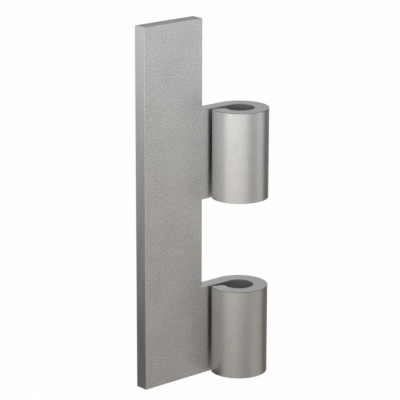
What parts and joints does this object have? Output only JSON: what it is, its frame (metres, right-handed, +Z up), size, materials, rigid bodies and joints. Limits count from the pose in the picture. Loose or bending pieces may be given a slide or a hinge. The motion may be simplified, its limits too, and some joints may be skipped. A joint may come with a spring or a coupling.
{
  "type": "hinge leaf",
  "caption": "Weld-on hinge leaf: flat steel plate whose tabs are rolled into open-seam knuckles for a pin, with gaps between them for the mating leaf.",
  "frame": {"origin": "on the hinge axis at the leaf's lower end", "axes": "+Z up along the hinge axis, -X from the axis to the plate's free edge, +Y out of the plate's back"},
  "size_m": [0.0492, 0.0205, 0.13],
  "materials": {
    "satin_steel": "satin, fine blasted grain"
  },
  "bodies": {
    "root": {"hinge_leaf": "satin_steel"}
  },
  "joints": []
}
